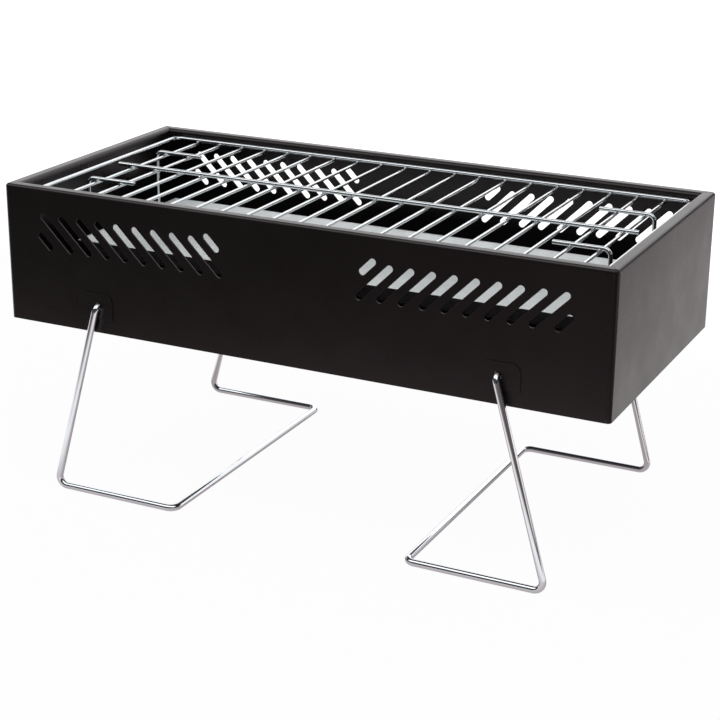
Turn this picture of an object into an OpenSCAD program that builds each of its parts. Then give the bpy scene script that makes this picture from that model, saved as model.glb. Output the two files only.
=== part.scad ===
// Folding camp grill: a black sheet steel firebox on two fold-over wire legs,
// with a lift-off welded wire grid and a loose charcoal pan.
// The long side runs along X, the front faces -Y, and z = 0 is the ground.

/* [Firebox] */
// Outside length of the firebox
body_w = 460; // [300:1:700]
// Outside depth of the firebox, front to back
body_d = 217; // [180:1:400]
// Height of the firebox, underside to rim
body_h = 101; // [85:1:160]
// Thickness of the black sheet
sheet = 1; // [0.6:0.1:1.5]
// Outside radius of the upright corners
corner_r = 3; // [2.6:0.1:6]
// Width of the folded rim
rim_w = 10; // [8:0.5:16]
// Outside radius of the fold along the outer edge of the rim
rim_outer_r = 2.5; // [1.8:0.1:2.6]
// Outside radius of the fold along the inner edge of the rim
rim_inner_r = 3; // [2:0.1:4]
// Height of the lip that hangs from the inner edge of the rim
rim_lip = 5; // [2:0.5:10]
// Gap where two folded sheets meet edge to edge
seam = 0.2; // [0.1:0.05:0.5]
// Width of the upright welding tabs behind the front and back panels
tab_w = 14; // [8:1:20]
// Height of the turned-up edge of the floor
floor_edge = 9; // [6:0.5:11]
// Outside radius of the folds of the floor
floor_r = 2; // [1.6:0.1:3]

/* [Vents] */
// Long slots in each group
vent_count = 9; // [3:1:12]
// Distance between neighbouring slots
vent_pitch = 15.25; // [12:0.05:20]
// Width of a slot
vent_slot = 5; // [3:0.1:7]
// Height between the end centres of a long slot
vent_rise = 22; // [10:0.5:30]
// Height between the end centres of a short slot
vent_short_rise = 7.5; // [3:0.5:12]
// Rim to the upper end centres of the long slots
vent_drop = 21; // [18:0.5:30]
// Lift of the upper short slot above the long ones
vent_short_lift = 3; // [0:0.5:4]
// How far the lower short slot stands outboard of the line of the long ones
vent_short_out = 2; // [0:0.5:4]
// Middle of the panel to the first long slot's upper end
vent_start = 75.2; // [60:0.2:90]

/* [Legs] */
// Diameter of the leg wire
leg_d = 5; // [4:0.1:6]
// End of the firebox to the leg pivot
pivot_inset = 77; // [60:1:110]
// Underside of the firebox to the leg pivot
pivot_up = 20; // [18:0.5:24]
// Height of the pivot above the centre of the wire on the ground
leg_reach = 144.3; // [120:0.1:180]
// How far the foot of the strut stands outboard of the pivot
leg_splay = 40.7; // [20:0.1:60]
// Length of the foot along the ground
foot_len = 101.4; // [70:0.1:130]
// Radius of the bends at the ground, on the wire's centre line
leg_bend = 6.5; // [6:0.1:12]
// Radius of the bend at the pivot, on the wire's centre line
pivot_bend = 4; // [3.5:0.1:6]
// Running gap between the struts and the pads
leg_gap = 0.7; // [0.5:0.1:3]
// Clearance of the pivot hole on the wire's diameter
pivot_play = 1; // [0.7:0.1:1.5]
// Width of the pressed pad around a pivot hole
pad_w = 27.4; // [20:0.1:40]
// Height of the pressed pad
pad_h = 19; // [16:0.2:24]
// Radius of the pad's two upper corners
pad_r = 6.5; // [2:0.5:8]
// How far the middle of the pad stands outboard of the pivot
pad_out = 2.2; // [0:0.1:4]
// How far the pad is pressed outwards
pad_raise = 0.8; // [0.4:0.1:0.9]
// Outside diameter of the push-on cap on the wire's end
cap_d = 10; // [8:0.5:13]
// Length of the push-on cap
cap_l = 5; // [3:0.5:8]

/* [Grid] */
// Cross bars
bar_count = 20; // [10:1:20]
// Diameter of a cross bar
bar_d = 2.4; // [2:0.1:3]
// Diameter of the frame, centre and stand wires
grid_d = 3; // [2.5:0.1:4]
// Rim to the top of the grid
grid_drop = 4.5; // [2:0.5:8]
// Gap between the grid and the rim at each end, when the grid is in the middle
grid_gap_x = 3.9; // [1:0.1:8]
// Gap between the grid and the rim at front and back
grid_gap_y = 1.5; // [0.6:0.1:5]
// Corner radius of the frame wire, on its centre line
frame_bend = 7; // [5:0.5:15]
// How far the centre wire runs on past the last bars
centre_over = 11.6; // [2:0.1:14]
// End of the frame wire to the upright wires of a stand
stand_inset = 12.6; // [9:0.1:14]
// Distance between the two upright wires of a stand
stand_w = 94; // [60:1:110]
// Length of the stand arms welded on the bars
stand_arm = 40; // [30:1:60]
// Bend radius of the stand wires, on the centre line
stand_bend = 5; // [4:0.5:8]

// How far the loose grid and the pan sit to the right of the middle
loose_shift = 2.2; // [0:0.1:2.5]

/* [Charcoal pan] */
// Gap between the pan and the uprights of the grid stands
pan_gap = 1.2; // [1:0.1:8]
// Outside depth of the pan, front to back
pan_w = 136; // [110:1:150]
// Height of the pan's walls
pan_h = 14; // [10:0.5:24]
// How far the pan's walls lean in from its edge to its floor
pan_flare = 12; // [4:0.5:16]
// Underside of the firebox to the pan's edge
pan_top = 53; // [45:0.5:56]
// Thickness of the pan's sheet
pan_sheet = 0.8; // [0.6:0.1:1.2]
// Height of the hem folded over the pan's edge
hem_h = 2; // [1.5:0.1:6]
// Middle of the pan to each of its two feet brackets
foot_place = 120; // [60:1:130]
// Width of a bracket along the pan
foot_w = 24; // [15:1:40]
// Length of a bracket's top across the pan
foot_span = 90; // [60:1:100]
// Length of the toes at the bottom of a bracket
foot_toe = 12; // [8:1:18]

/* [Hidden] */
$fn = 48;
eps = 0.01;
tiny = 1e-6;
rest_gap = 0.3;
seat_gap = 0.05;
ball_gap = 0.1;
ball_extra = 0.04;

ground_z = leg_d/2;
pivot_z = ground_z + leg_reach;
body_z = pivot_z - pivot_up;
rim_z = body_z + body_h;
floor_z = body_z + sheet;
half_w = body_w/2;
half_d = body_d/2;
pivot_x = half_w - pivot_inset;
pad_face = half_d + pad_raise;
pad_back = pad_face - sheet;
leg_y = pad_face + leg_gap + leg_d/2;
// height of the flat part of a wall, below the folds of the rim
rim_foot = body_h - max(rim_outer_r, rim_inner_r + rim_lip) - 2*sheet;

grid_z = rim_z - grid_drop - grid_d/2;
bar_z = grid_z - (grid_d + bar_d)/2;
frame_x = half_w - rim_w - grid_gap_x - grid_d/2;
frame_y = half_d - rim_w - grid_gap_y - grid_d/2;
bar_pitch = 2*frame_x/(bar_count + 1);
stand_x = frame_x - stand_inset;
stand_z = floor_z + rest_gap + grid_d/2;

pan_x = stand_x - grid_d/2 - pan_gap;
pan_y = pan_w/2;
pan_z = body_z + pan_top - pan_h;
// the sheet of the leaning walls, measured level
pan_wall = pan_sheet*norm([pan_flare, pan_h])/pan_h;

function bar_name(i) = str("grid_bar_", i < 10 ? "0" : "", i);
BARS = [for (i = [1:bar_count]) bar_name(i)];

// ---- bent wire -------------------------------------------------------------

function unit(v) = v/norm(v);
function turn(a, b) = acos(max(-1, min(1, a*b)));

// Places its children with their own X and Z axes along x and z
module aim(p, x, z) {
    y = cross(z, x);
    rows = [for (i = [0:2]) [x[i], y[i], z[i], p[i]]];
    multmatrix(concat(rows, [[0, 0, 0, 1]])) children();
}

// Direction square to a, in the plane of a and b
function across(a, b) = unit(b - a*(a*b));
function slanted(a) = max(abs(a[0]), abs(a[1]), abs(a[2])) < 1 - tiny;

// Round wire through the points, with a bend radius for every corner. A bend that
// leads to a slanted run meets its neighbours in a ball that is a hair thicker.
module wire(points, bends, d, closed = false) {
    n = len(points);
    runs = closed ? n : n - 1;
    dirs = [for (i = [0:runs - 1]) unit(points[(i + 1) % n] - points[i])];
    function before(i) = dirs[(i + runs - 1) % runs];
    function after(i) = dirs[(i + 1) % runs];
    function radius(i) = is_list(bends) ? bends[i % runs] : bends;
    function bent(i) = closed || (i > 0 && i < runs);
    function cut(i) = bent(i) ? radius(i)*tan(turn(before(i % runs), dirs[i % runs])/2) : 0;
    function balled(i) = bent(i) && (slanted(before(i % runs)) || slanted(dirs[i % runs]));
    for (i = [0:runs - 1]) {
        side = across(dirs[i], bent(i) ? before(i) : after(i));
        from = cut(i) + (balled(i) ? ball_gap : 0);
        to = norm(points[(i + 1) % n] - points[i]) - cut(i + 1) - (balled(i + 1) ? ball_gap : 0);
        aim(points[i] + dirs[i]*from, side, dirs[i]) cylinder(h = to - from, d = d);
        if (bent(i)) elbow(points[i], before(i), dirs[i], radius(i), d);
        if (balled(i)) for (end = [dirs[i], -before(i)])
            aim(points[i] + end*cut(i), across(end, dirs[i] - before(i)), end) sphere(d = d + ball_extra);
    }
}

// The bend of a wire that comes in along a and leaves along b
module elbow(corner, a, b, bend, d) {
    angle = turn(a, b);
    side = across(a, b);
    centre = corner - a*bend*tan(angle/2) + side*bend;
    aim(centre, -side, cross(-side, a))
        rotate_extrude(angle = angle) translate([bend, 0]) circle(d = d);
}

// ---- folded sheet ----------------------------------------------------------

// A quarter of a ring, in the quadrant of the signs sx and sy
module quarter_ring(r, t, sx, sy) {
    intersection() {
        difference() {
            circle(r = r);
            circle(r = r - t);
        }
        translate([sx > 0 ? 0 : -r, sy > 0 ? 0 : -r]) square(r);
    }
}

// Section of a rim: x is the depth behind the wall's outer face, y the height
module rim_section() {
    top = body_h;
    translate([0, rim_foot]) square([sheet, top - rim_outer_r - rim_foot]);
    translate([rim_outer_r, top - rim_outer_r]) quarter_ring(rim_outer_r, sheet, -1, 1);
    translate([rim_outer_r, top - sheet]) square([rim_w - rim_outer_r - rim_inner_r, sheet]);
    translate([rim_w - rim_inner_r, top - rim_inner_r]) quarter_ring(rim_inner_r, sheet, 1, 1);
    translate([rim_w - sheet, top - rim_inner_r - rim_lip]) square([sheet, rim_lip]);
}

// Section of a whole wall
module wall_section() {
    rim_section();
    square([sheet, rim_foot]);
}

// Plan of the long panels, mitred at the rim; the front one lies at -Y
module long_plan() {
    x = half_w - corner_r - seam;
    x_in = half_w - rim_w - seam;
    y_turn = half_d - corner_r;
    y_in = half_d - rim_w - eps;
    right = [[x, -half_d - eps], [x, -y_turn], [x_in, -y_in]];
    left = [[-x_in, -y_in], [-x, -y_turn], [-x, -half_d - eps]];
    polygon(concat(right, left));
}

// Outline of a slanted slot; x and y give the centre of its upper end
module slot(x, y, rise) {
    translate([x, y]) circle(d = vent_slot);
    translate([x - rise, y - rise]) circle(d = vent_slot);
    translate([x - rise/2, y - rise/2]) rotate(45) square([rise*sqrt(2), vent_slot], center = true);
}

// One group of slanted slots, to the right of the middle
module vent_group() {
    top = body_h - vent_drop;
    for (i = [0:vent_count - 1]) slot(vent_start + i*vent_pitch, top, vent_rise);
    slot(vent_start - vent_pitch + vent_short_lift, top + vent_short_lift, vent_short_rise);
    low = vent_rise - vent_short_rise;
    slot(vent_start + vent_count*vent_pitch - low + vent_short_out, top - low, vent_short_rise);
}

// Outline of the pressed pad, grown by a margin: round above and square below
module pad(grow) {
    w = pad_w + 2*grow;
    h = pad_h + 2*grow;
    r = pad_r + grow;
    translate([pivot_x + pad_out, pivot_up]) {
        for (side = [-1, 1]) translate([side*(w/2 - r), h/2 - r]) circle(r = r);
        square([w - 2*r, h], center = true);
        translate([-w/2, -h/2]) square([w, h - r]);
    }
}

// Stands an outline up in the front, from the depth out in front of the middle
module standing(out, depth) {
    translate([0, depth - out, 0]) rotate([90, 0, 0]) linear_extrude(height = depth) children();
}

// Flat of the long panel below the rim, with its vents and the windows of the pads
module long_flat() {
    length = body_w - 2*(corner_r + seam);
    standing(half_d, sheet) difference() {
        translate([-length/2, 0]) square([length, rim_foot]);
        for (side = [0, 1]) mirror([side, 0]) {
            vent_group();
            pad(-sheet);
        }
    }
}

// Hole of a leg's end in the pad
module pivot_hole() {
    translate([pivot_x, pivot_up]) circle(d = leg_d + pivot_play);
}

module front_panel() {
    color("#1d1b1a") translate([0, 0, body_z]) {
        long_flat();
        intersection() {
            rotate([90, 0, 90]) linear_extrude(height = body_w, center = true)
                translate([-half_d, 0]) rim_section();
            linear_extrude(height = body_h + eps) long_plan();
        }
        for (side = [0, 1]) mirror([side, 0, 0]) {
            standing(pad_face, sheet) difference() {
                pad(0);
                pivot_hole();
            }
            if (pad_raise < sheet) standing(pad_face, pad_raise) difference() {
                pad(0);
                pad(-sheet);
            }
        }
    }
}

module back_panel() {
    mirror([0, 1, 0]) front_panel();
}

// Plan of the straight part of an end panel, mitred at the rim
module end_plan() {
    x_turn = half_w - corner_r;
    x_in = half_w - rim_w - eps;
    y = half_d - corner_r;
    y_in = half_d - rim_w;
    outside = [[half_w + eps, -y], [half_w + eps, y], [x_turn, y]];
    polygon(concat(outside, [[x_in, y_in], [x_in, -y_in], [x_turn, -y]]));
}

// The upright corner at the front of the right end, with its strip of the rim
module end_corner() {
    translate([half_w - corner_r, corner_r - half_d, body_z]) rotate([0, 0, -90])
        rotate_extrude(angle = 90) intersection() {
            translate([corner_r, 0]) mirror([1, 0]) wall_section();
            square([corner_r, body_h]);
        }
}

// Tab behind the front panel that the panel is welded to
module weld_tab() {
    low = floor_edge + sheet;
    high = body_h - rim_inner_r - rim_lip - sheet;
    translate([half_w - corner_r - tab_w, sheet - half_d, body_z + low])
        cube([tab_w + corner_r/2, sheet, high - low]);
}

module end_panel() {
    color("#1d1b1a") {
        translate([0, 0, body_z]) intersection() {
            rotate([90, 0, 0]) linear_extrude(height = body_d, center = true)
                translate([half_w, 0]) mirror([1, 0]) wall_section();
            linear_extrude(height = body_h + eps) end_plan();
        }
        for (side = [0, 1]) mirror([0, side, 0]) {
            end_corner();
            weld_tab();
        }
    }
}

module right_end_panel() {
    end_panel();
}

module left_end_panel() {
    mirror([1, 0, 0]) end_panel();
}

// One turned-up edge of the floor, for a side that lies at distance reach. A strip of
// the flat floor comes with it, so that the two overlap.
module floor_fold(reach, length) {
    rotate([90, 0, 0]) linear_extrude(height = length, center = true) {
        translate([reach - floor_r - sheet, 0]) square(sheet);
        translate([reach - floor_r, floor_r]) quarter_ring(floor_r, sheet, 1, -1);
        translate([reach - sheet, floor_r]) square([sheet, floor_edge - floor_r]);
    }
}

module floor_panel() {
    reach_x = half_w - sheet;
    reach_y = half_d - sheet;
    notch = 2*(corner_r + floor_r);
    color("#1d1b1a") translate([0, 0, body_z]) {
        translate([floor_r - reach_x, floor_r - reach_y, 0])
            cube([2*(reach_x - floor_r), 2*(reach_y - floor_r), sheet]);
        for (side = [0, 180]) {
            rotate([0, 0, side]) floor_fold(reach_x, 2*reach_y - notch);
            rotate([0, 0, side + 90]) floor_fold(reach_y, 2*reach_x - notch);
        }
    }
}

// ---- legs --------------------------------------------------------------------

// One leg: two struts, two feet and the cross wire between them
module leg() {
    end_y = pad_back - cap_l;
    foot_x = pivot_x + leg_splay;
    cross_x = foot_x - foot_len;
    color("#d8dadd") wire([[pivot_x, -end_y, pivot_z], [pivot_x, -leg_y, pivot_z],
        [foot_x, -leg_y, ground_z], [cross_x, -leg_y, ground_z],
        [cross_x, leg_y, ground_z], [foot_x, leg_y, ground_z],
        [pivot_x, leg_y, pivot_z], [pivot_x, end_y, pivot_z]],
        [0, pivot_bend, leg_bend, leg_bend, leg_bend, leg_bend, pivot_bend], leg_d);
}

// Push-on caps that hold the two ends of a leg inside the firebox
module leg_caps() {
    bore_depth = cap_l - rest_gap + seat_gap;
    color("#55585c") for (side = [0, 1]) mirror([0, side, 0])
        translate([pivot_x, rest_gap - pad_back, pivot_z]) rotate([-90, 0, 0]) difference() {
            cylinder(h = cap_l + sheet, d = cap_d);
            translate([0, 0, -eps]) cylinder(h = bore_depth + eps, d = leg_d + 2*seat_gap);
        }
}

module right_leg() {
    leg();
}

module left_leg() {
    mirror([1, 0, 0]) leg();
}

module right_leg_caps() {
    leg_caps();
}

module left_leg_caps() {
    mirror([1, 0, 0]) leg_caps();
}

// ---- grid --------------------------------------------------------------------

// Puts a loose piece where it sits in the firebox
module shifted() {
    translate([loose_shift, 0, 0]) children();
}

module grid_frame_wire() {
    color("#d2d5d8") shifted() wire([[frame_x, -frame_y, grid_z], [frame_x, frame_y, grid_z],
        [-frame_x, frame_y, grid_z], [-frame_x, -frame_y, grid_z]], frame_bend, grid_d, closed = true);
}

// Bars are counted from the left
module grid_bar(i) {
    x = bar_pitch*(i - (bar_count + 1)/2);
    color("#d2d5d8") shifted() translate([x, 0, bar_z]) rotate([90, 0, 0])
        cylinder(h = 2*frame_y + grid_d, d = bar_d, center = true);
}

module grid_centre_wire() {
    last_bar = frame_x - bar_pitch;
    length = 2*(last_bar + centre_over);
    color("#d2d5d8") shifted() translate([0, 0, grid_z]) rotate([0, 90, 0])
        cylinder(h = length, d = grid_d, center = true);
}

// A bent wire welded to the bars, with its foot on the floor
module grid_stand() {
    y = stand_w/2;
    arm_x = stand_x - stand_arm;
    color("#d2d5d8") wire([[arm_x, -y, grid_z], [stand_x, -y, grid_z], [stand_x, -y, stand_z],
        [stand_x, y, stand_z], [stand_x, y, grid_z], [arm_x, y, grid_z]], stand_bend, grid_d);
}

module grid_right_stand() {
    shifted() grid_stand();
}

module grid_left_stand() {
    shifted() mirror([1, 0, 0]) grid_stand();
}

// ---- charcoal pan --------------------------------------------------------------

// How far the pan's wall stands in from its edge at a height
function lean_in(z) = pan_flare*(1 - z/pan_h);

// Section across the pan between two heights, for half its width at the edge
module pan_section(half, low, high) {
    foot = half - lean_in(low);
    head = half - lean_in(high);
    polygon([[-foot, low], [foot, low], [head, high], [-head, high]]);
}

// Block with the pan's leaning sides between two heights, in from its edge by a margin
module pan_block(inset, low, high) {
    intersection() {
        rotate([90, 0, 90]) linear_extrude(height = 2*pan_x + pan_h, center = true)
            pan_section(pan_y - inset, low, high);
        rotate([90, 0, 0]) linear_extrude(height = 2*pan_y + pan_h, center = true)
            pan_section(pan_x - inset, low, high);
    }
}

module charcoal_pan() {
    color("#b9bfbd") shifted() translate([0, 0, pan_z]) difference() {
        union() {
            pan_block(pan_wall, 0, pan_h);
            pan_block(0, pan_h - hem_h, pan_h);
        }
        pan_block(2*pan_wall, pan_sheet, pan_h + 1);
    }
}

// Bent black strip that carries the pan: a top, two upright legs and two toes
module pan_bracket() {
    height = pan_z - floor_z - seat_gap;
    half = foot_span/2;
    color("#1d1b1a") translate([foot_place, 0, floor_z + seat_gap]) rotate([90, 0, 90])
        linear_extrude(height = foot_w, center = true) {
            translate([-half, height - pan_sheet]) square([foot_span, pan_sheet]);
            for (side = [0, 1]) mirror([side, 0]) {
                translate([half - pan_sheet, 0]) square([pan_sheet, height]);
                translate([half - pan_sheet, 0]) square([foot_toe, pan_sheet]);
            }
        }
}

module pan_right_bracket() {
    shifted() pan_bracket();
}

module pan_left_bracket() {
    shifted() mirror([1, 0, 0]) pan_bracket();
}

// ---- pieces --------------------------------------------------------------------

front_panel();
back_panel();
left_end_panel();
right_end_panel();
floor_panel();
left_leg();
right_leg();
left_leg_caps();
right_leg_caps();
grid_frame_wire();
for (i = [1:bar_count]) grid_bar(i);
grid_centre_wire();
grid_left_stand();
grid_right_stand();
charcoal_pan();
pan_left_bracket();
pan_right_bracket();
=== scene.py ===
"""Folding camp grill: black enamelled firebox, bright wire legs and grid, galvanised pan."""

import math
import random

import bmesh
import bpy
from mathutils import Matrix, Vector


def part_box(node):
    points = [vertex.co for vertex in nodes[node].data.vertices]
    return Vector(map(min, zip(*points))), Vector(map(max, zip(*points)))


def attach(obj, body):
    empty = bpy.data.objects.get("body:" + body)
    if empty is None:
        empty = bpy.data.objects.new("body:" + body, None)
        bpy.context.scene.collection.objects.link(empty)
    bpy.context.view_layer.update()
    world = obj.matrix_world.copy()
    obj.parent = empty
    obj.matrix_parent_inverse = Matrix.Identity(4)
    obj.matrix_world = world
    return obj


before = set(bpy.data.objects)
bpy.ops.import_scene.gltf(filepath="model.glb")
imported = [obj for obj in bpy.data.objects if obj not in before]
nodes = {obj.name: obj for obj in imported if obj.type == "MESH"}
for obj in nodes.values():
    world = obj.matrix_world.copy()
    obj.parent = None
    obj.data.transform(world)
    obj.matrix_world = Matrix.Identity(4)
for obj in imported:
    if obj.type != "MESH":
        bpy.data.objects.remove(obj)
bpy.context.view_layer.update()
scene = bpy.context.scene
random.seed(7)

# ---------------------------------------------------------------- values
# Lengths are in metres, but for the lens and the sensor. Colours are linear.
# Four numbers in a row are (from, to, value at from, value at to).

CAMERA_PLACE = (0.54617, -1.11556, 0.54684)
CAMERA_TURN = (70.0784, -0.4683, 26.1881)  # degrees
CAMERA_LENS = 89.4436  # millimetres
CAMERA_SENSOR = 36.0  # millimetres
CAMERA_REACH = (0.01, 100.0)

WHITE = (1.0, 1.0, 1.0, 1)
ENAMEL_DARK = (0.0052, 0.0044, 0.0042, 1)
ENAMEL_LIGHT = (0.0082, 0.0069, 0.0066, 1)
ENAMEL_WORN = (0.018, 0.016, 0.015, 1)
ENAMEL_SHINE = (1.0, 0.88, 0.89, 1)
LEG_TINT = (0.84, 0.87, 0.90, 1)
GRID_TINT = (0.82, 0.85, 0.87, 1)
CAP_TINT = (0.5, 0.5, 0.52, 1)
WELD_TINT = (0.74, 0.74, 0.75, 1)
PLATING_DIM = 0.93
ZINC_DARK = (0.80, 0.83, 0.82, 1)
ZINC_LIGHT = (0.87, 0.90, 0.89, 1)

# Cosine between the rounded and the true normal: off an edge, and on it.
EDGE_FALL = (0.995, 0.85, 0.0, 1.0)
EDGE_RADIUS = 0.0009
EDGE_PALER = 0.3
EDGE_ROUGHER = 0.4

BEAD_SIZE = (0.0014, 0.0014, 0.00075)
BEAD_SWELL = (0.88, 1.12)
BEAD_LEAN = 0.12
BEAD_RIPPLE = 0.05

# The floor as reflections see it, by x, by y or by the distance to the firebox.
FLOOR_SIZE = 60.0
FLOOR_Z = -0.0006
FLOOR_COLOUR = (0.9, 0.9, 0.9, 1)
FLOOR_GLOW = 0.97
FLOOR_BY_Y_FRONT = (-0.48, -0.20, 0.14, 1.0)
FLOOR_BY_Y_BACK = (0.35, 0.85, 1.0, 1.40)
FLOOR_BY_X_LEFT = (-0.50, 0.10, 0.40, 1.15)
FLOOR_LEFT_FADES = (-0.40, -0.20, 0.0, 1.0)
FLOOR_BY_X_RIGHT = (0.33, 0.51, 1.0, 0.14)
FLOOR_BY_X_FAR_RIGHT = (0.62, 1.0, 0.0, 0.9)
FLOOR_SHADE = (0.0, 0.12, 0.40, 1.0)
SHADE_HALF_X = 0.20
SHADE_HALF_Y = 0.08
FLOOR_DIM_HUE = (1.0, 0.78, 0.82, 1)
FLOOR_WARM = (0.24, 0.36, 0.0, 1.0)
FLOOR_WARM_HUE = (1.0, 0.945, 0.95, 1)
FLOOR_WARM_DIM_HUE = (1.0, 0.82, 0.83, 1)

# The room as reflections see it, by the parts of the direction looked in.
ROOM_BY_Y = (0.15, 0.85, 0.05, 1.0)
ROOM_BY_Z = (0.42, 1.0, 1.35, 0.45)
ROOM_LIGHT_BY_Y = (-0.8, 0.6, 0.12, 0.55)
ROOM_DIM_HUE = (0.90, 0.92, 1.0, 1)
CARD_BY_X_START = (0.03, 0.16, 0.0, 1.0)
CARD_BY_X_END = (0.48, 0.62, 1.0, 0.0)
CARD_BY_Z = (0.30, 0.37, 1.0, 0.0)
CARD_LEVEL = (0.0, 1.0, 1.0, 0.04)

KEY_PLACE = (-0.5, -0.7, 1.7)
KEY_TARGET = (-0.5, 0, 0.15)
KEY_SIZE = (4.0, 1.3)
KEY_POWER = 24.0

# ---------------------------------------------------------------- camera

camera_data = bpy.data.cameras.new("camera")
camera_data.sensor_width = CAMERA_SENSOR
camera_data.lens = CAMERA_LENS
camera_data.clip_start, camera_data.clip_end = CAMERA_REACH
camera = bpy.data.objects.new("camera", camera_data)
camera.location = CAMERA_PLACE
camera.rotation_euler = [math.radians(a) for a in CAMERA_TURN]
scene.collection.objects.link(camera)
scene.camera = camera


# ---------------------------------------------------------------- node helpers

class Tree:
    """A short way to write a node tree."""

    def __init__(self, owner):
        owner.use_nodes = True
        self.tree = owner.node_tree
        self.tree.nodes.clear()

    def add(self, kind, inputs=None, **props):
        node = self.tree.nodes.new(kind)
        for key, value in props.items():
            setattr(node, key, value)
        for key, value in (inputs or {}).items():
            self.put(node.inputs[key], value)
        return node

    def put(self, socket, value):
        """Link a socket to another, or set its value."""
        if isinstance(value, bpy.types.NodeSocket):
            self.tree.links.new(value, socket)
        else:
            socket.default_value = value

    def math(self, op, a, b=0.0):
        return self.add("ShaderNodeMath", {0: a, 1: b}, operation=op).outputs[0]

    def product(self, first, *others):
        for other in others:
            first = self.math("MULTIPLY", first, other)
        return first

    def remap(self, value, low, high, to_low, to_high, kind="LINEAR"):
        node = self.add("ShaderNodeMapRange", {0: value, 1: low, 2: high, 3: to_low, 4: to_high},
                        interpolation_type=kind)
        return node.outputs[0]

    def fall(self, value, ends):
        """A change that starts and ends gently."""
        return self.remap(value, *ends, kind="SMOOTHSTEP")

    def mix(self, fac, a, b):
        """Two colours mixed. The node has its colours on sockets 6 and 7."""
        node = self.add("ShaderNodeMix", data_type="RGBA")
        self.put(node.inputs[0], fac)
        self.put(node.inputs[6], a)
        self.put(node.inputs[7], b)
        return node.outputs[2]

    def mix_value(self, fac, a, b):
        """Two numbers mixed. The node has them on sockets 2 and 3."""
        node = self.add("ShaderNodeMix", data_type="FLOAT")
        self.put(node.inputs[0], fac)
        self.put(node.inputs[2], a)
        self.put(node.inputs[3], b)
        return node.outputs[0]

    def place(self):
        return self.add("ShaderNodeTexCoord").outputs["Object"]

    def noise(self, place, scale, detail=2.0, rough=0.5):
        node = self.add("ShaderNodeTexNoise", {"Vector": place, "Scale": scale,
                                               "Detail": detail, "Roughness": rough})
        return node.outputs["Fac"]

    def vary(self, place, low, high, scale, detail, rough=0.5, span=(0.3, 0.7)):
        """Noise whose usual span is stretched from low to high."""
        return self.remap(self.noise(place, scale, detail, rough), *span, low, high)

    def edge(self, radius):
        """1 along sharp edges, 0 on the flats."""
        rounded = self.add("ShaderNodeBevel", {"Radius": radius}, samples=4).outputs["Normal"]
        true = self.add("ShaderNodeNewGeometry").outputs["Normal"]
        dot = self.add("ShaderNodeVectorMath", {0: rounded, 1: true}, operation="DOT_PRODUCT")
        return self.remap(dot.outputs["Value"], *EDGE_FALL)

    def bump(self, height, strength, distance):
        return self.add("ShaderNodeBump", {"Height": height, "Strength": strength,
                                           "Distance": distance})

    def surface(self, **inputs):
        """End the tree in a Principled shader with these inputs."""
        named = {key.replace("_", " "): value for key, value in inputs.items()}
        shader = self.add("ShaderNodeBsdfPrincipled", named)
        self.add("ShaderNodeOutputMaterial", {"Surface": shader.outputs[0]})

    def seen_by(self, *rays):
        """1 for the named kinds of ray, 0 for the others."""
        path = self.add("ShaderNodeLightPath").outputs
        seen = path[rays[0]]
        for ray in rays[1:]:
            seen = self.math("MAXIMUM", seen, path[ray])
        return seen


def material(name):
    mat = bpy.data.materials.new(name)
    return mat, Tree(mat)


# ---------------------------------------------------------------- materials

def black_enamel():
    """Satin stove enamel: fine orange peel, uneven gloss, duller and paler along its edges."""
    mat, t = material("black_enamel")
    place = t.place()
    edge = t.edge(EDGE_RADIUS)
    shade = t.mix(t.vary(place, 0.0, 1.0, scale=9.0, detail=3.0), ENAMEL_DARK, ENAMEL_LIGHT)
    shade = t.mix(t.math("MULTIPLY", edge, EDGE_PALER), shade, ENAMEL_WORN)
    rough = t.vary(place, 0.25, 0.33, scale=38.0, detail=4.0, rough=0.6, span=(0.25, 0.75))
    rough = t.math("ADD", rough, t.math("MULTIPLY", edge, EDGE_ROUGHER))
    peel = t.bump(t.noise(place, scale=620.0, rough=0.55), strength=0.20, distance=0.00012)
    grain = t.bump(t.noise(place, scale=2600.0, detail=1.0), strength=0.10, distance=0.00004)
    t.put(grain.inputs["Normal"], peel.outputs["Normal"])
    t.surface(Base_Color=shade, Roughness=rough, Specular_IOR_Level=0.55,
              Specular_Tint=ENAMEL_SHINE, Normal=grain.outputs["Normal"])
    return mat


def plated_wire(name, tint, low, high):
    """Bright plating whose roughness goes from low to high."""
    mat, t = material(name)
    place = t.place()
    dim = tuple(PLATING_DIM*part for part in tint[:3]) + (1,)
    shade = t.mix(t.vary(place, 0.0, 1.0, scale=45.0, detail=3.0, span=(0.35, 0.7)), tint, dim)
    rough = t.vary(place, low, high, scale=90.0, detail=4.0, rough=0.6)
    waves = t.bump(t.noise(place, scale=500.0), strength=0.05, distance=0.00002)
    t.surface(Base_Color=shade, Metallic=1.0, Roughness=rough, Normal=waves.outputs["Normal"])
    return mat


def galvanised():
    """Dull zinc with a small pale spangle."""
    mat, t = material("galvanised")
    place = t.place()
    cells = t.add("ShaderNodeTexVoronoi", {"Vector": place, "Scale": 150.0}).outputs["Color"]
    spangle = t.add("ShaderNodeSeparateColor", {"Color": cells}).outputs[0]
    rough = t.vary(place, 0.40, 0.50, scale=60.0, detail=4.0)
    grain = t.bump(t.noise(place, scale=500.0, detail=3.0), strength=0.1, distance=0.0001)
    t.surface(Base_Color=t.mix(spangle, ZINC_DARK, ZINC_LIGHT), Metallic=0.2, Roughness=rough,
              Normal=grain.outputs["Normal"])
    return mat


def give(mat, *names):
    for name in names:
        data = nodes[name].data
        data.materials.clear()
        data.materials.append(mat)


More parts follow.
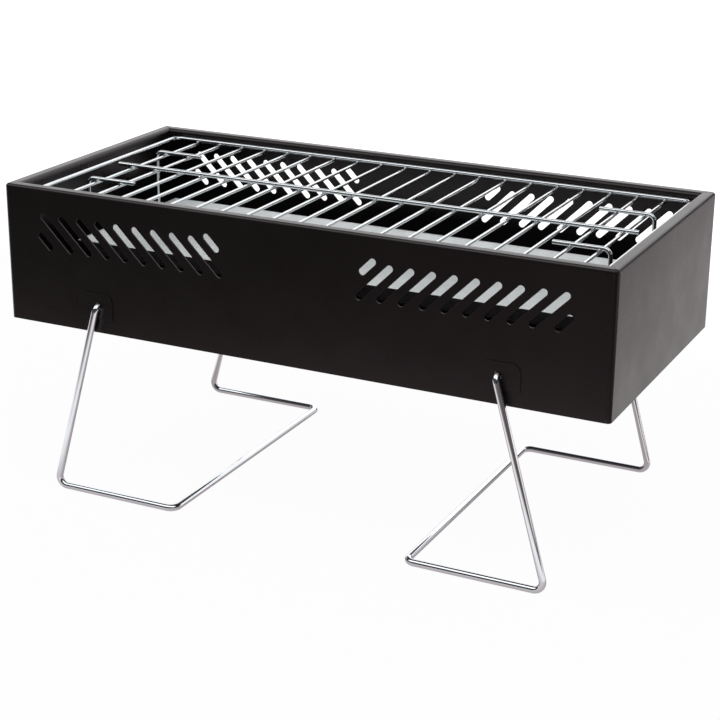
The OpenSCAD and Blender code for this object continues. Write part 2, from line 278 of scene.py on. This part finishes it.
give(black_enamel(), "front_panel", "back_panel", "left_end_panel", "right_end_panel",
     "floor_panel", "pan_left_bracket", "pan_right_bracket")
give(plated_wire("leg_plating", LEG_TINT, low=0.06, high=0.10), "left_leg", "right_leg")
give(plated_wire("grid_plating", GRID_TINT, low=0.10, high=0.20),
     *[name for name in nodes if name.startswith("grid_")])
give(galvanised(), "charcoal_pan")
give(plated_wire("cap_plating", CAP_TINT, low=0.3, high=0.4), "left_leg_caps", "right_leg_caps")


# ---------------------------------------------------------------- weld beads

def bead(bm, place):
    """A squashed, slightly uneven bead of weld metal."""
    made = bmesh.ops.create_icosphere(bm, subdivisions=3, radius=1.0)["verts"]
    turn = Matrix.Rotation(random.uniform(0, math.tau), 3, "Z")
    swell = [random.uniform(*BEAD_SWELL) for _ in range(3)]
    lean = Vector((random.uniform(-1, 1), random.uniform(-1, 1), 0))*BEAD_LEAN
    for v in made:
        ripple = 1 + BEAD_RIPPLE*math.sin(5*v.co.x + 3*swell[0]*v.co.y)
        co = turn @ Vector([v.co[i]*swell[i]*ripple for i in range(3)])
        v.co = Vector(place) + Vector([(co[i] + lean[i])*BEAD_SIZE[i] for i in range(3)])


def weld_beads():
    """Beads where the frame wire, the centre wire and the stands lie on the bars."""
    low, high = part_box("grid_frame_wire")
    wire = (high.z - low.z)/2
    rows = [low.y + wire, 0.0, high.y - wire]
    stands = [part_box("grid_left_stand"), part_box("grid_right_stand")]
    bm = bmesh.new()
    for name in sorted(n for n in nodes if n.startswith("grid_bar_")):
        bar_low, bar_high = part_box(name)
        x = (bar_low.x + bar_high.x)/2
        for y in rows:
            bead(bm, (x, y, bar_high.z))
        for stand_low, stand_high in stands:
            if stand_low.x < x < stand_high.x:
                for y in (stand_low.y + wire, stand_high.y - wire):
                    bead(bm, (x, y, bar_high.z))
    mesh = bpy.data.meshes.new("weld_beads")
    bm.to_mesh(mesh)
    bm.free()
    for face in mesh.polygons:
        face.use_smooth = True
    obj = bpy.data.objects.new("weld_beads", mesh)
    scene.collection.objects.link(obj)
    obj.data.materials.append(plated_wire("weld_plating", WELD_TINT, low=0.2, high=0.34))
    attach(obj, "grid")


weld_beads()


# ---------------------------------------------------------------- floor

def distance_out(t, x, y):
    """How far a point lies outside the firebox's footprint."""
    off_x = t.math("MAXIMUM", t.math("SUBTRACT", t.math("ABSOLUTE", x), SHADE_HALF_X), 0.0)
    off_y = t.math("MAXIMUM", t.math("SUBTRACT", t.math("ABSOLUTE", y), SHADE_HALF_Y), 0.0)
    squares = t.math("ADD", t.math("MULTIPLY", off_x, off_x), t.math("MULTIPLY", off_y, off_y))
    return t.math("SQRT", squares)


def floor_material():
    """White to the camera, shaped in reflections, plain and matt to all other light."""
    mat, t = material("floor")
    spot = t.add("ShaderNodeNewGeometry").outputs["Position"]
    parts = t.add("ShaderNodeSeparateXYZ", {"Vector": spot}).outputs
    x, y = parts["X"], parts["Y"]
    left_fades = t.remap(y, *FLOOR_LEFT_FADES)
    front = t.math("MULTIPLY", t.fall(y, FLOOR_BY_Y_FRONT),
                   t.mix_value(left_fades, t.fall(x, FLOOR_BY_X_LEFT), 1.0))
    right = t.math("MAXIMUM", t.fall(x, FLOOR_BY_X_RIGHT), t.fall(x, FLOOR_BY_X_FAR_RIGHT))
    shade = t.fall(distance_out(t, x, y), FLOOR_SHADE)
    camera_ray = t.seen_by("Is Camera Ray")
    level = t.math("MAXIMUM", camera_ray,
                   t.product(front, right, t.fall(y, FLOOR_BY_Y_BACK), shade))
    warm = t.math("MULTIPLY", t.fall(x, FLOOR_WARM), t.math("SUBTRACT", 1.0, camera_ray))
    hue = t.mix(warm, t.mix(level, FLOOR_DIM_HUE, WHITE),
                t.mix(level, FLOOR_WARM_DIM_HUE, FLOOR_WARM_HUE))
    glow = t.math("MULTIPLY", t.seen_by("Is Camera Ray", "Is Glossy Ray"), FLOOR_GLOW)
    matt = t.add("ShaderNodeBsdfDiffuse", {"Color": FLOOR_COLOUR}).outputs[0]
    white = t.add("ShaderNodeEmission", {"Color": hue, "Strength": level}).outputs[0]
    both = t.add("ShaderNodeMixShader", {0: glow, 1: matt, 2: white}).outputs[0]
    t.add("ShaderNodeOutputMaterial", {"Surface": both})
    return mat


def floor():
    bm = bmesh.new()
    for x, y in ((-1, -1), (1, -1), (1, 1), (-1, 1)):
        bm.verts.new((x*FLOOR_SIZE/2, y*FLOOR_SIZE/2, 0))
    bm.faces.new(bm.verts)
    mesh = bpy.data.meshes.new("floor")
    bm.to_mesh(mesh)
    bm.free()
    obj = bpy.data.objects.new("floor", mesh)
    obj.location = (0, 0, FLOOR_Z)
    obj.data.materials.append(floor_material())
    scene.collection.objects.link(obj)


floor()


# ---------------------------------------------------------------- room and light

def room():
    """White to the camera, shaped in reflections, and soft light from the back.

    A dark card stands low at the back on the right, where the tops of the rims mirror it.
    """
    world = bpy.data.worlds.new("world")
    scene.world = world
    t = Tree(world)
    way = t.add("ShaderNodeTexCoord").outputs["Generated"]
    parts = t.add("ShaderNodeSeparateXYZ", {"Vector": way}).outputs
    x, y, z = parts["X"], parts["Y"], parts["Z"]
    card = t.product(t.fall(x, CARD_BY_X_START), t.fall(x, CARD_BY_X_END), t.fall(z, CARD_BY_Z))
    level = t.math("MAXIMUM", t.seen_by("Is Camera Ray"),
                   t.product(t.fall(y, ROOM_BY_Y), t.fall(z, ROOM_BY_Z),
                             t.remap(card, *CARD_LEVEL)))
    seen = t.seen_by("Is Camera Ray", "Is Glossy Ray", "Is Transmission Ray")
    strength = t.mix_value(seen, t.remap(y, *ROOM_LIGHT_BY_Y), level)
    hue = t.mix(level, ROOM_DIM_HUE, WHITE)
    sky = t.add("ShaderNodeBackground", {"Color": hue, "Strength": strength}).outputs[0]
    t.add("ShaderNodeOutputWorld", {"Surface": sky})


def softbox(name, place, target, size, power):
    data = bpy.data.lights.new(name, "AREA")
    data.shape = "RECTANGLE"
    data.size, data.size_y = size
    data.energy = power
    lamp = bpy.data.objects.new(name, data)
    lamp.location = place
    lamp.rotation_mode = "QUATERNION"
    lamp.rotation_quaternion = (Vector(place) - Vector(target)).to_track_quat("Z", "Y")
    scene.collection.objects.link(lamp)


room()
softbox("key_box", KEY_PLACE, KEY_TARGET, KEY_SIZE, KEY_POWER)

scene.view_settings.view_transform = "Standard"
